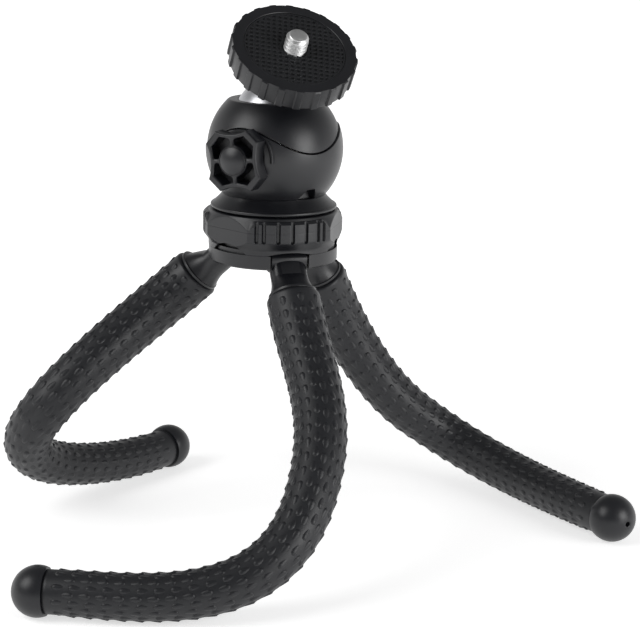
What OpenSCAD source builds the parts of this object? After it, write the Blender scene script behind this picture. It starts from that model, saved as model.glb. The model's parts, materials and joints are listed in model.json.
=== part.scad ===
// Small flexible leg tripod: a ball head on a three-leg hub, with bendable rubber legs.
// Azimuths are in degrees from -Y, positive towards +X. Heights are in millimetres above the floor.

/* [Ball head] */
// Diameter of the spherical housing
housing_d = 39; // [37:0.5:44]
// Height of the housing's flat rim above its centre
rim_rise = 13.8; // [13:0.1:15]
// Depth of the housing's flat bottom below its centre
bottom_drop = 12.8; // [11:0.1:13.5]
// Diameter of the ball
ball_d = 23; // [21:0.1:24]
// Height of the ball's centre above the housing's centre
ball_rise = 8.5; // [7.5:0.1:9]
// Diameter of the ball's neck
neck_d = 7.6; // [6:0.1:8.4]
// Lean of the ball's stem from upright
stem_lean = 37; // [0:1:40]
// Azimuth that the stem leans towards
stem_azimuth = 20; // [-180:1:180]
// Mean height of the housing's seam above its centre
seam_mid = 4.1; // [3.5:0.1:5]
// Rise and fall of the seam about its mean height
seam_swing = 3.3; // [0:0.1:4]
// Angle round the housing from the seam's crest to its trough
seam_turn = 65; // [55:1:75]
// Step of the upper shell behind the lower shell at the seam
seam_step = 0.4; // [0.2:0.05:0.6]
// Width of the groove along the seam
seam_gap = 0.3; // [0.2:0.05:0.6]
// Outer diameter of the cup that the ball sits in
seat_d = 21.6; // [20:0.1:22]
// Depth of the cup's floor below the housing's centre
seat_drop = 8; // [7:0.1:9]
// Height of the cup's lip above the housing's centre
seat_lip = 2; // [1.5:0.1:2.4]
// Azimuth of the pry notch in the housing's lower edge
pry_azimuth = 39; // [30:1:60]
// Width of the pry notch at its mouth
pry_w = 6.4; // [4:0.1:7]
// Height of the pry notch
pry_h = 3; // [2:0.1:3.5]

/* [Top plate] */
// Diameter of the fluted plate
plate_d = 35.4; // [32:0.1:42]
// Thickness of the plate
plate_t = 6.4; // [5:0.1:8]
// Distance from the ball's centre to the plate's underside
plate_rise = 20.2; // [18:0.1:24]
// Number of flutes round the rim
flute_count = 22; // [12:1:28]
// Depth of a flute
flute_depth = 0.45; // [0.3:0.05:1]
// Turn of the flutes round the plate
flute_turn = 6.5; // [0:0.5:16]
// Diameter of the rubber pad
pad_d = 28.4; // [24:0.1:30]
// Thickness of the rubber pad
pad_t = 1.6; // [1:0.1:2.5]
// Diameter of the camera screw
screw_d = 6.35; // [6.35, 9.525]
// Length of the camera screw above the pad
screw_out = 4.8; // [4:0.1:6]
// Diameter of the screw's shank inside the plate and ball
shank_d = 6; // [5:0.1:6.2]
// Depth of the shank in the ball, from the plate's underside
shank_depth = 9; // [6:0.5:14]

/* [Lock knob] */
// Azimuth of the knob
knob_azimuth = -28.5; // [-60:0.5:0]
// Depth of the knob's axis below the housing's centre
knob_drop = 0.9; // [0.5:0.1:1.5]
// Turn of the knob from upright
knob_turn = 6; // [-45:1:45]
// Distance between opposite cut corners of the knob
knob_span = 18.8; // [17:0.1:20]
// Distance between the knob's hollow sides
knob_waist = 14.6; // [13:0.1:15.4]
// Thickness of the knob
knob_t = 4.6; // [4:0.1:7]
// Depth of the knob's windows
window_depth = 3.4; // [2:0.1:4]
// Width of the rim round the windows
window_rim = 1.1; // [1:0.1:1.6]
// Width of the spokes between the windows
spoke_w = 1.3; // [1:0.1:2.4]
// Diameter of the domed cap
cap_d = 8.2; // [7:0.1:9]
// Height of the cap's dome
cap_dome = 1; // [0.5:0.1:2]
// Depth of the flat that is cut into the housing behind the knob
spot_cut = 1.4; // [1:0.1:1.8]
// Distance of the lip beside the knob from the knob's axis
lip_r = 9.3; // [8.8:0.1:9.8]
// Diameter of the lock screw
lock_screw_d = 5; // [4:0.5:6]
// Diameter of the brass bush round the lock screw
lock_bush_d = 8.4; // [7.5:0.1:9]
// Length of the brass bush
lock_bush_l = 2.8; // [2:0.1:3.2]
// Diameter of the pressure pad
press_d = 5.6; // [5:0.1:5.8]
// Travel of the pressure pad over one turn of the knob
lock_travel = 0.8; // [0.5:0.1:1]

/* [Hub] */
// Height of the leg pivots above the floor
pivot_z = 79; // [75:0.5:84]
// Distance of the leg pivots from the hub's axis
pivot_r = 13.5; // [13:0.1:14]
// Azimuth of the front leg
leg_azimuth = 17; // [0:1:30]
// Diameter of the hub's lower disc
hub_d = 36.8; // [36.2:0.1:38]
// Depth of the hub's underside below the pivots
hub_drop = 2.5; // [2:0.1:3.5]
// Height of the hub's lower disc above the pivots
disc_rise = 1.5; // [1.4:0.1:2]
// Diameter of the ribbed ring
ring_d = 40.2; // [39.6:0.1:43]
// Distance of the ring's flats from the hub's axis
flat_reach = 18.6; // [18.5:0.1:19.4]
// Diameter of the ring's upper edge
ring_top_d = 36.4; // [35:0.1:37]
// Diameter of the skirt below the ring
skirt_d = 37; // [36.8:0.1:37.2]
// Thickness of the skirt
skirt_t = 0.8; // [0.6:0.1:1]
// Height of the skirt
skirt_h = 3.5; // [3:0.1:5]
// Width of the windows in the skirt
vent_w = 12.6; // [8:0.1:14]
// Height of the windows in the skirt
vent_h = 2.6; // [1.5:0.1:2.8]
// Width of the arches over the leg roots
arch_w = 13; // [12:0.1:16]
// Height of the arches over the leg roots
arch_h = 0.9; // [0.8:0.1:1.2]
// Height of the ribbed ring
ring_h = 7.1; // [6:0.1:9]
// Number of ribs over each leg
rib_count = 6; // [4:1:6]
// Angle from one rib to the next
rib_step = 11.6; // [10.5:0.1:12]
// Width of the groove between ribs
rib_groove = 1; // [0.8:0.1:1.4]
// Depth of the groove between ribs
rib_depth = 0.8; // [0.4:0.1:1]
// Height of the shoulder under the housing
shoulder_h = 4; // [3:0.1:6]
// Diameter of the shoulder's foot
shoulder_d = 36; // [34:0.1:38]
// Diameter of the shoulder's upper edge
shoulder_top_d = 29.4; // [28.6:0.1:30]
// Thickness of the friction washer
washer_t = 0.4; // [0.3:0.1:0.8]
// Outer diameter of the friction washer
washer_d = 30; // [24:0.5:34]
// Diameter of the pan stud
stud_d = 6.35; // [6:0.05:6.5]
// Diameter of the pan stud's head
stud_head_d = 11; // [10:0.1:11.4]
// Diameter of the brass bush on the pan stud
head_bush_d = 10; // [9:0.1:11]

/* [Screws] */
// Diameter of the hub screws
hub_screw_d = 2.5; // [2:0.1:3]
// Diameter of the hub screws' heads
hub_screw_head_d = 4.6; // [4:0.1:5]
// Distance of the hub screws from the hub's axis
hub_screw_r = 12; // [11.5:0.1:12.4]
// Diameter of the head screws
head_screw_d = 2; // [1.6:0.1:2.2]
// Diameter of the head screws' heads
head_screw_head_d = 3.4; // [3:0.1:3.6]
// Distance of the head screws from the hub's axis
head_screw_r = 13.2; // [13.1:0.05:13.4]

/* [Leg roots] */
// Width of the ferrule in the hub's notch
root_w = 10.4; // [9:0.1:11]
// Radius of the ferrule's knuckle
knuckle_r = 3.8; // [3.4:0.1:4]
// Distance of the ferrule's flat upper face from its axis
facet_y = 3.4; // [3:0.1:3.5]
// Length of the ferrule's straight neck
root_neck = 6.2; // [6:0.1:7]
// Length of the ferrule from its pin to the sleeve
root_l = 12; // [11:0.1:15]
// Diameter of the ferrule's end
root_end_d = 13.5; // [12:0.1:14.5]
// Diameter of the hinge pins
pin_d = 2.5; // [2:0.1:3]
// Length of the hinge pins
pin_l = 22; // [20:0.5:23]

/* [Legs] */
// Diameter of the sleeve at the ferrule, over its nubs
sleeve_top_d = 15.8; // [14:0.1:17]
// Diameter of the sleeve at the foot, over its nubs
sleeve_foot_d = 12.2; // [11:0.1:13]
// Radius of the sleeve's rounded upper edge
sleeve_round = 1.2; // [0.5:0.1:2]
// Diameter of the rubber foot
foot_d = 13.5; // [13:0.1:16]
// Diameter of the metal core
core_d = 4.5; // [3:0.1:6]
// Length from the ferrule to the flexing stretch
flex_start = 30; // [20:1:40]
// Length of the flexing stretch
flex_l = 22; // [16:1:28]
// Diameter of the hole in the foot's tip
tip_hole_d = 1.4; // [1:0.1:2]
// Depth of the hole in the foot's tip
tip_hole_l = 2; // [1:0.1:2.5]
// Depth of the core in the ferrule
core_in_root = 5; // [4:0.5:6]

/* [Front leg] */
// Angle of the front ferrule from upright
front_splay = 39; // [10:1:58]
// Knee point of the front leg, from the hub's axis and the floor
front_knee = [11, -66, 27]; // [-100:0.5:100]
// Azimuth and dip of the front leg at its knee
front_aim = [-21, 44]; // [-180:1:180]
// Handle lengths of the front leg's two curves
front_handles = [24, 26, 36, 24]; // [8:1:50]
// Place of the front foot on the floor, from the hub's axis
front_foot = [-58.5, -80.5]; // [-120:0.5:120]
// Azimuth of the front leg at its foot
front_foot_aim = -98; // [-180:1:180]

/* [Left leg] */
// Angle of the left ferrule from upright
left_splay = 47; // [10:1:58]
// Knee point of the left leg, from the hub's axis and the floor
left_knee = [-69, -13.5, 29.5]; // [-100:0.5:100]
// Azimuth and dip of the left leg at its knee
left_aim = [-139, 49]; // [-180:1:180]
// Handle lengths of the left leg's two curves
left_handles = [19, 22, 24, 27]; // [8:1:50]
// Place of the left foot on the floor, from the hub's axis
left_foot = [-34.5, 40.5]; // [-120:0.5:120]
// Azimuth of the left leg at its foot
left_foot_aim = 145; // [-180:1:180]

/* [Right leg] */
// Angle of the right ferrule from upright
right_splay = 31; // [10:1:58]
// Knee point of the right leg, from the hub's axis and the floor
right_knee = [43, 24, 22]; // [-100:0.5:100]
// Azimuth and dip of the right leg at its knee
right_aim = [110, 38]; // [-180:1:180]
// Handle lengths of the right leg's two curves
right_handles = [23, 18, 29, 28]; // [8:1:50]
// Place of the right foot on the floor, from the hub's axis
right_foot = [96, -26]; // [-120:0.5:120]
// Azimuth of the right leg at its foot
right_foot_aim = 34; // [-180:1:180]

/* [Placing] */
// Tip of the hub and head towards +X
hub_tip = 1.2; // [-4:0.1:4]
// Distance of the hub's axis from the middle of the footprint
hub_place = [-12.3, 21.6]; // [-60:0.1:60]

/* [Fits] */
// Radial clearance of turning and sliding fits
run_fit = 0.05; // [0.02:0.01:0.1]
// Clearance between pieces that move past each other
air = 0.4; // [0.3:0.05:0.6]
// Clearance of the core in the sleeve's bore
core_fit = 0.15; // [0.1:0.05:0.3]

/* [Hidden] */
$fn = 96;
eps = 0.01;
far = 100;
round_steps = 12;

LEGS = ["front", "left", "right"];
LEG_PIECES = [
    "hinge_pin", "ferrule", "core", "sleeve_upper", "sleeve_flex", "sleeve_lower", "foot"
];

// Heights of the stacked pieces
hub_bottom_z = pivot_z - hub_drop;
disc_z = pivot_z + disc_rise;
ring_z = disc_z + skirt_h;
ring_top_z = ring_z + ring_h;
shoulder_z = ring_top_z + washer_t;
housing_bottom_z = shoulder_z + shoulder_h;
housing_z = housing_bottom_z + bottom_drop;

// Housing and ball
housing_r = housing_d / 2;
ball_r = ball_d / 2;
neck_r = neck_d / 2;
seat_r = seat_d / 2;
ball_bore_r = ball_r + air;
seat_floor = 1;
bush_top_z = housing_z - seat_drop - seat_floor;
stud_short = 0.5;
stud_tip_z = bush_top_z - stud_short;
seam_pitch = 7.5;
pry_depth = 1.5;
pry_taper = 1.9;

// Top plate
plate_r = plate_d / 2;
pad_r = pad_d / 2;
plate_edge = 0.6;
pad_sink = 0.2;
pad_top = plate_rise + plate_t - pad_sink;
screw_r = screw_d / 2;
shank_r = shank_d / 2;
screw_tip = 0.8;
screw_wall = screw_out - screw_tip;
shank_end = plate_rise - shank_depth;

// Lock
spot_reach = housing_r - spot_cut;
lip_w = 0.8;
lip_root = 3;
lip_back = 0.05;
lip_from = -3;
lip_sweep = 38;
knob_gap = 0.3;
knob_back = spot_reach + knob_gap;
knob_face = knob_back + knob_t;
knob_edge = 0.6;
side_r = 13;
cap_seat = 1;
cap_proud = 0.5;
lock_screw_r = lock_screw_d / 2;
cap_floor = 1;
lock_screw_end = knob_face - cap_seat - cap_floor;
press_tip = seat_r + 2 * run_fit;
bush_in = spot_reach - lock_bush_l;
press_room = 0.2;
press_end = bush_in - lock_travel - press_room;

// Hub
hub_r = hub_d / 2;
slip = 0.1;
step_h = 1.2;
step_w = 1.1;
land_h = 0.5;
land_w = 1;
lid_t = 3;
hub_step_z = disc_z + step_h;
hub_neck_z = ring_z + land_h;
hub_top_z = ring_top_z - lid_t;
skirt_in_r = skirt_d / 2 - skirt_t;
hub_step_r = skirt_in_r - slip;
hub_neck_r = hub_step_r - step_w;
hub_top_r = hub_neck_r - land_w;
hub_edge = 0.5;
ring_drop = 2.5;
ring_under = 1.6;
rib_top = 0.6;
rib_root = 1;
stud_r = stud_d / 2;
stud_head_h = 3;
stud_room = 2;
stud_hole_r = stud_r + stud_room;
notch_w = root_w + 2 * air;
notch_in = pivot_r - root_w / 2 - air - slip;
notch_top_z = pivot_z + knuckle_r + air;
hub_screw_head_h = 1.5;
hub_screw_skin = 1;
hub_screw_tip_z = ring_top_z - hub_screw_skin;
head_screw_head_h = 1.4;
head_screw_skin = 3;
head_screw_tip_z = housing_z + rim_rise - head_screw_skin;
bead_h = 1.1;
bead_out = 0.3;
shoulder_bulge = 0.35;

// Legs
core_r = core_d / 2;
bore_r = core_r + core_fit;
pin_r = pin_d / 2;
foot_r = foot_d / 2;
sleeve_top_r = sleeve_top_d / 2;
sleeve_foot_r = sleeve_foot_d / 2;
foot_lip = 0.2;
foot_seat = sqrt(foot_r * foot_r - pow(sleeve_foot_r + foot_lip, 2));
root_rim = 1;
facet_slope = 18;
ring_pitch = 4;

plastic = "#26262a";
rubber = "#303034";
brass = "#b08d45";
steel = "#a8abb0";
silver = "#d4d6da";
nylon = "#e4e2dc";

// Local frames
module at_floor() {
    translate([hub_place.x, hub_place.y, 0]) children();
}

// The hub and the head tip about the height of the leg pivots
module at_hub(z) {
    at_floor()
        translate([0, 0, pivot_z])
        rotate([0, hub_tip, 0])
        translate([0, 0, z - pivot_z])
        children();
}

module at_housing() {
    at_hub(housing_z) children();
}

// +Z along the stem, from the ball's centre
module at_stem() {
    at_hub(housing_z + ball_rise) rotate([stem_lean, 0, stem_azimuth]) children();
}

// +Z along the knob's axis, outwards from the hub's axis, with +Y up
module at_knob() {
    at_hub(housing_z - knob_drop) rotate([90, 0, knob_azimuth]) children();
}

// -Z along the leg, from its pivot, with -Y on the upper side
module at_root(leg) {
    at_hub(pivot_z)
        rotate([0, 0, root_azimuth(leg)])
        translate([0, -pivot_r, 0])
        rotate([-splay(leg), 0, 0])
        children();
}

// Three copies about the hub's axis, at the legs or half way between them
module around(offset) {
    for (i = [0:2]) rotate([0, 0, leg_azimuth + offset + 120 * i]) children();
}

// Centre lines of the legs

function pick(leg, front, left, right) = leg == "front" ? front : leg == "left" ? left : right;
function splay(leg) = pick(leg, front_splay, left_splay, right_splay);
function root_azimuth(leg) = leg_azimuth + pick(leg, 0, -120, 120);
function aim(azimuth, dip) = [sin(azimuth) * cos(dip), -cos(azimuth) * cos(dip), -sin(dip)];
function unit(v) = v / norm(v);
function bezier(a, b, c, d, t) =
    pow(1 - t, 3) * a + 3 * t * pow(1 - t, 2) * b + 3 * t * t * (1 - t) * c + pow(t, 3) * d;

function tipped(v) =
    [v.x * cos(hub_tip) + v.z * sin(hub_tip), v.y, v.z * cos(hub_tip) - v.x * sin(hub_tip)];
function root_aim(leg) = tipped(aim(root_azimuth(leg), 90 - splay(leg)));
function root_end(leg) =
    [0, 0, pivot_z] + pivot_r * tipped(aim(root_azimuth(leg), 0)) + root_l * root_aim(leg);
function foot_aim(leg) = aim(pick(leg, front_foot_aim, left_foot_aim, right_foot_aim), 0);
function foot_centre(leg) =
    let (p = pick(leg, front_foot, left_foot, right_foot)) [p.x, p.y, foot_r];
function foot_face(leg) = foot_centre(leg) - foot_seat * foot_aim(leg);

// The line leaves the ferrule along its axis, passes the knee and ends square on the foot's face
function curve(leg) =
    let (
        n = 24,
        start = root_end(leg),
        knee = pick(leg, front_knee, left_knee, right_knee),
        end = foot_face(leg),
        handle = pick(leg, front_handles, left_handles, right_handles),
        bend = pick(leg, front_aim, left_aim, right_aim),
        knee_aim = aim(bend[0], bend[1]),
        a = start + handle[0] * root_aim(leg),
        b = knee - handle[1] * knee_aim,
        c = knee + handle[2] * knee_aim,
        d = end - handle[3] * foot_aim(leg)
    )
    concat(
        [for (i = [0:n - 1]) bezier(start, a, b, knee, i / n)],
        [for (i = [0:n]) bezier(knee, c, d, end, i / n)]
    );

// Distance along the line at each of its points
function distances(line) =
    [for (
        i = 0, s = 0;
        i < len(line);
        i = i + 1,
        s = i < len(line) ? s + norm(line[i] - line[i - 1]) : s
    ) s];

// Direction of the line at each of its points
function headings(leg, line) =
    let (last = len(line) - 1)
    [for (i = [0:last])
        i == 0 ? root_aim(leg) : i == last ? foot_aim(leg) : unit(line[i + 1] - line[i - 1])];

// Side vectors carried along the line without twist
function sides(aims) =
    [for (
        i = 0, u = unit(cross(aims[0], [0, 0, 1]));
        i < len(aims);
        i = i + 1,
        u = i < len(aims) ? unit(u - (u * aims[i]) * aims[i]) : u
    ) u];

function rig(leg) =
    let (line = curve(leg), aims = headings(leg, line)) [distances(line), line, aims, sides(aims)];
front_rig = rig("front");
left_rig = rig("left");
right_rig = rig("right");

function rig_of(leg) = pick(leg, front_rig, left_rig, right_rig);
function leg_length(leg) = let (dist = rig_of(leg)[0]) dist[len(dist) - 1];
function between(dist, values, s) =
    [for (axis = [0:2]) lookup(s, [for (i = [0:len(dist) - 1]) [dist[i], values[i][axis]]])];
function aim_at(leg, s) = unit(between(rig_of(leg)[0], rig_of(leg)[2], s));
function side_at(leg, s) =
    let (u = between(rig_of(leg)[0], rig_of(leg)[3], s), t = aim_at(leg, s)) unit(u - (u * t) * t);

// The line runs on straight past both ends, into the ferrule and the foot
function centre_at(leg, s) =
    between(rig_of(leg)[0], rig_of(leg)[1], s)
    + min(s, 0) * root_aim(leg)
    + max(s - leg_length(leg), 0) * foot_aim(leg);

function edge_drop(s) =
    s < sleeve_round ? sleeve_round - sqrt(pow(sleeve_round, 2) - pow(sleeve_round - s, 2)) : 0;
function sleeve_r(leg, s) =
    sleeve_top_r + (sleeve_foot_r - sleeve_top_r) * s / leg_length(leg) - edge_drop(s);

// Stations of the rings along each stretch, at most ring_pitch apart
function stations(s0, s1) =
    let (n = max(2, ceil((s1 - s0) / ring_pitch))) [for (i = [0:n]) s0 + (s1 - s0) * i / n];
upper_stations = concat(
    [for (k = [0:2]) sleeve_round * (1 - cos(30 * k))],
    stations(sleeve_round, flex_start)
);
flex_stations = stations(flex_start, flex_start + flex_l);
function lower_stations(leg) = stations(flex_start + flex_l, leg_length(leg));

// Rings of points about the line, at the given stations and radii
function rings(leg, at, radii, count) =
    [for (i = [0:len(at) - 1], j = [0:count - 1])
        let (t = aim_at(leg, at[i]), u = side_at(leg, at[i]), turn = 360 * j / count)
        centre_at(leg, at[i]) + radii[i] * (cos(turn) * u + sin(turn) * cross(t, u))];

// Walls between neighbouring rings, facing out or in
function walls(n, count, base, outward) =
    [for (i = [0:n - 2], j = [0:count - 1])
        let (a = base + i * count + j, b = base + i * count + (j + 1) % count)
        each outward ? [[a, a + count, b], [b, a + count, b + count]]
            : [[a, b, a + count], [b, b + count, a + count]]];

// Ring-shaped end between an outer ring of 2n points and an inner ring of n points
function annulus(outer, inner, n, first) =
    [for (j = [0:n - 1])
        let (
            a = inner + j,
            b = inner + (j + 1) % n,
            p = outer + 2 * j,
            q = p + 1,
            r = outer + (2 * j + 2) % (2 * n)
        )
        each first ? [[a, p, q], [a, q, b], [b, q, r]] : [[a, q, p], [a, b, q], [b, r, q]]];

// Hollow stretch of sleeve
module sleeve(leg, at) {
    outer = 16;
    inner = outer / 2;
    n = len(at);
    points = concat(
        rings(leg, at, [for (s = at) sleeve_r(leg, s)], outer),
        rings(leg, at, [for (s = at) bore_r], inner)
    );
    faces = concat(
        walls(n, outer, 0, true),
        walls(n, inner, n * outer, false),
        annulus(0, n * outer, inner, true),
        annulus((n - 1) * outer, n * outer + (n - 1) * inner, inner, false)
    );
    color(rubber) at_floor() polyhedron(points, faces);
}

module sleeve_upper(leg) {
    sleeve(leg, upper_stations);
}

module sleeve_flex(leg) {
    sleeve(leg, flex_stations);
}

module sleeve_lower(leg) {
    sleeve(leg, lower_stations(leg));
}

// Rod with the sleeve's own stations, from inside the ferrule to the foot's centre
module core(leg) {
    count = 8;
    lower = lower_stations(leg);
    at = concat(
        [-core_in_root],
        upper_stations,
        [for (i = [1:len(flex_stations) - 1]) flex_stations[i]],
        [for (i = [1:len(lower) - 1]) lower[i]],
        [leg_length(leg) + foot_seat]
    );
    n = len(at);
    faces = concat(
        walls(n, count, 0, true),
        [[for (j = [0:count - 1]) j]],
        [[for (j = [count - 1:-1:0]) (n - 1) * count + j]]
    );
    color(steel) at_floor() polyhedron(rings(leg, at, [for (s = at) core_r], count), faces);
}

// Turns +Z to the direction v
module towards(v) {
    rotate([0, acos(v.z), atan2(v.y, v.x)]) children();
}

module foot(leg) {
    color(rubber)
    at_floor()
    translate(foot_centre(leg))
    towards(foot_aim(leg))
    difference() {
        sphere(r = foot_r);
        translate([0, 0, -foot_seat - far]) cylinder(r = foot_r, h = far);
        translate([0, 0, -foot_seat - eps]) cylinder(r = bore_r + core_fit, h = foot_seat + air);
        translate([0, 0, foot_r - tip_hole_l]) cylinder(d = tip_hole_d, h = far);
    }
}

// Trumpet on a knuckle, with a flat upper face that clears the skirt
module ferrule(leg) {
    neck_end_r = root_w / 2;
    end_r = root_end_d / 2;
    flare_l = root_l - root_rim - root_neck;
    flare = [for (k = [1:round_steps])
        let (t = k / round_steps)
        [neck_end_r + (end_r - neck_end_r) * t * t, -root_neck - flare_l * t]];
    color(plastic)
    at_root(leg)
    difference() {
        union() {
            rotate([0, 90, 0]) cylinder(r = knuckle_r, h = root_w, center = true);
            rotate_extrude() polygon(concat(
                [[0, -root_l], [0, 0], [neck_end_r, 0], [neck_end_r, -root_neck]],
                flare,
                [[end_r, -root_l]]
            ));
        }
        translate([-far / 2, -facet_y - far, -root_neck]) cube(far);
        translate([0, -facet_y, -root_neck])
            rotate([-facet_slope, 0, 0])
            translate([-far / 2, -far, -far / 2])
            cube(far);
        rotate([0, 90, 0]) cylinder(r = pin_r + run_fit, h = far, center = true);
        translate([0, 0, -root_l - eps]) cylinder(r = bore_r, h = core_in_root + air);
    }
}

module hinge_pin(leg) {
    color(steel) at_root(leg) rotate([0, 90, 0]) cylinder(r = pin_r, h = pin_l, center = true);
}

// Hub

// Cut across a wall at azimuth 0, a circular arch of the given width and rise above z
module arch(width, rise, z, from_r) {
    r = (width * width / 4 + rise * rise) / (2 * rise);
    translate([0, -from_r, z + rise - r]) rotate([90, 0, 0]) cylinder(r = r, h = far);
}

module hub() {
    profile = [
        [stud_r + run_fit, hub_bottom_z], [hub_r - hub_edge, hub_bottom_z],
        [hub_r, hub_bottom_z + hub_edge], [hub_r, disc_z],
        [hub_step_r, disc_z], [hub_step_r, hub_step_z],
        [hub_neck_r, hub_step_z], [hub_neck_r, hub_neck_z],
        [hub_top_r, hub_neck_z], [hub_top_r, hub_top_z],
        [stud_r + run_fit, hub_top_z]
    ];
    color(plastic)
    difference() {
        at_hub(0) rotate_extrude() polygon(profile);
        at_hub(0)
            around(0)
            translate([-notch_w / 2, -far - notch_in, 0])
            cube([notch_w, far, notch_top_z]);
        at_hub(hub_bottom_z - eps) cylinder(d = stud_head_d, h = stud_head_h + eps);
        hub_screws();
        for (leg = LEGS) hinge_pin(leg);
    }
}

module hub_cover() {
    ring_r = ring_d / 2;
    top_r = ring_top_d / 2;
    profile = [
        [stud_hole_r, ring_top_z], [top_r, ring_top_z],
        [ring_r, ring_top_z - ring_drop], [ring_r, ring_z + ring_under],
        [skirt_d / 2, ring_z], [skirt_d / 2, disc_z],
        [skirt_in_r, disc_z], [skirt_in_r, hub_neck_z],
        [hub_top_r + slip, hub_neck_z], [hub_top_r + slip, hub_top_z],
        [stud_hole_r, hub_top_z]
    ];
    color(plastic)
    difference() {
        at_hub(0) union() {
            rotate_extrude() polygon(profile);
            around(0) ribs();
        }
        at_hub(0) around(60) translate([-far / 2, -flat_reach - far, ring_z]) cube(far);
        at_hub(0) around(0) rib_grooves();
        at_hub(0) around(60) arch(vent_w, vent_h, disc_z, hub_neck_r);
        at_hub(0) around(0) arch(arch_w, arch_h, disc_z, hub_neck_r);
        hub_screws();
    }
}

// Ribs stand past the ring's sloping upper edge
module ribs() {
    ring_r = ring_d / 2;
    base_r = ring_top_d / 2 - rib_root;
    low = ring_z + ring_under;
    high = ring_top_z - rib_top;
    profile = [
        [base_r, low], [ring_r, low], [ring_r, high - rib_top],
        [ring_r - rib_top, high], [base_r, high]
    ];
    sweep = rib_count * rib_step;
    rotate([0, 0, -90 - sweep / 2]) rotate_extrude(angle = sweep) polygon(profile);
}

module rib_grooves() {
    ring_r = ring_d / 2;
    for (i = [0:rib_count])
        rotate([0, 0, (i - rib_count / 2) * rib_step])
        translate([-rib_groove / 2, -ring_r - far, ring_z - eps])
        cube([rib_groove, far + rib_depth, far]);
}

module hub_screws() {
    color(steel)
    at_hub(hub_bottom_z)
    around(60)
    translate([0, -hub_screw_r, 0]) {
        cylinder(d = hub_screw_d, h = hub_screw_tip_z - hub_bottom_z);
        cylinder(d = hub_screw_head_d, h = hub_screw_head_h);
    }
}

module pan_stud() {
    color(steel)
    at_hub(hub_bottom_z) {
        cylinder(r = stud_r, h = stud_tip_z - hub_bottom_z);
        cylinder(d = stud_head_d, h = stud_head_h);
    }
}

module pan_washer() {
    color(nylon)
    at_hub(ring_top_z)
    difference() {
        cylinder(d = washer_d, h = washer_t);
        translate([0, 0, -eps]) cylinder(r = stud_hole_r, h = washer_t + 2 * eps);
    }
}

// Head

module shoulder() {
    foot_r = shoulder_d / 2;
    top_r = shoulder_top_d / 2;
    neck_r = foot_r - bead_out;
    rise = shoulder_h - bead_h;
    slope = [for (k = [0:round_steps])
        let (
            t = k / round_steps,
            out = 1 - shoulder_bulge * sin(90 * t) - (1 - shoulder_bulge) * t
        )
        [top_r + (neck_r - top_r) * out, shoulder_z + bead_h + rise * t]];
    color(plastic)
    difference() {
        at_hub(0) rotate_extrude() polygon(concat(
            [[head_bush_d / 2, shoulder_z], [foot_r - bead_out, shoulder_z]],
            [[foot_r, shoulder_z + bead_out], [foot_r, shoulder_z + bead_h - bead_out]],
            slope,
            [[head_bush_d / 2, housing_bottom_z]]
        ));
        head_screws();
    }
}

module head_bush() {
    color(brass)
    at_hub(shoulder_z)
    difference() {
        cylinder(d = head_bush_d, h = bush_top_z - shoulder_z);
        translate([0, 0, -eps]) cylinder(r = stud_r + run_fit, h = far);
    }
}

module head_screws() {
    color(steel)
    at_hub(shoulder_z)
    for (turn = [35, 155, 275])
        rotate([0, 0, knob_azimuth + turn]) translate([0, -head_screw_r, 0]) {
            cylinder(d = head_screw_d, h = head_screw_tip_z - shoulder_z);
            cylinder(d = head_screw_head_d, h = head_screw_head_h);
        }
}

// Height of the seam at an angle from the knob: a crest over the knob, a trough, and a level back
function seam_height(turn) = seam_mid + seam_swing * cos(180 * min(turn / seam_turn, 2));
function seam_point(turn) =
    let (h = seam_height(turn)) [sqrt(housing_r * housing_r - h * h) * cos(turn), h];

// Everything above the seam, shifted up by lift
module above_seam(lift) {
    line = [for (turn = [0:seam_pitch:180]) seam_point(turn) + [0, lift]];
    profile = concat(
        [[far, far], [far, line[0].y]],
        line,
        [[-far, line[len(line) - 1].y], [-far, far]]
    );
    rotate([90, 0, knob_azimuth - 90]) linear_extrude(height = far, center = true) polygon(profile);
}

module upper_shell() {
    color(plastic)
    difference() {
        at_housing() intersection() {
            sphere(r = housing_r - seam_step);
            above_seam(seam_gap / 2);
            translate([-far / 2, -far / 2, rim_rise - far]) cube(far);
        }
        at_housing() translate([0, 0, ball_rise]) sphere(r = ball_r + run_fit);
        at_housing() translate([0, 0, ball_rise - far]) cylinder(r = ball_bore_r, h = far);
        at_knob() cylinder(r = press_d / 2 + air, h = housing_r);
        at_knob() translate([0, 0, bush_in - air]) cylinder(r = lock_bush_d / 2 + air, h = housing_r);
        head_screws();
    }
}

module lower_shell() {
    color(plastic)
    difference() {
        union() {
            difference() {
                at_housing() sphere(r = housing_r);
                at_knob() translate([0, 0, spot_reach]) cylinder(r = housing_r, h = far);
            }
            at_knob() rotate([0, 0, lip_from]) rotate_extrude(angle = lip_sweep)
                translate([lip_r - lip_w / 2, spot_reach - lip_root]) square([lip_w, lip_root - lip_back]);
        }
        at_housing() above_seam(-seam_gap / 2);
        at_housing() translate([-far / 2, -far / 2, -bottom_drop - far]) cube(far);
        at_housing() translate([0, 0, -seat_drop]) cylinder(r = seat_r + run_fit, h = far);
        at_housing() translate([0, 0, seat_lip]) cylinder(r = ball_bore_r, h = far);
        at_knob() cylinder(r = press_d / 2 + run_fit, h = bush_in + eps);
        at_knob() translate([0, 0, bush_in]) cylinder(d = lock_bush_d, h = far);
        pry_notch();
        at_hub(shoulder_z) cylinder(d = head_bush_d, h = bush_top_z - shoulder_z);
        head_screws();
    }
}

module pry_notch() {
    bottom_r = sqrt(housing_r * housing_r - bottom_drop * bottom_drop);
    at_hub(housing_bottom_z - eps)
        rotate([0, 0, pry_azimuth])
        translate([0, pry_depth - bottom_r, 0])
        rotate([90, 0, 0]) linear_extrude(height = far)
        polygon([
            [-pry_w / 2, 0], [pry_w / 2, 0], [pry_w / 2 - pry_taper, pry_h], [pry_taper - pry_w / 2, pry_h]
        ]);
}

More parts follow.
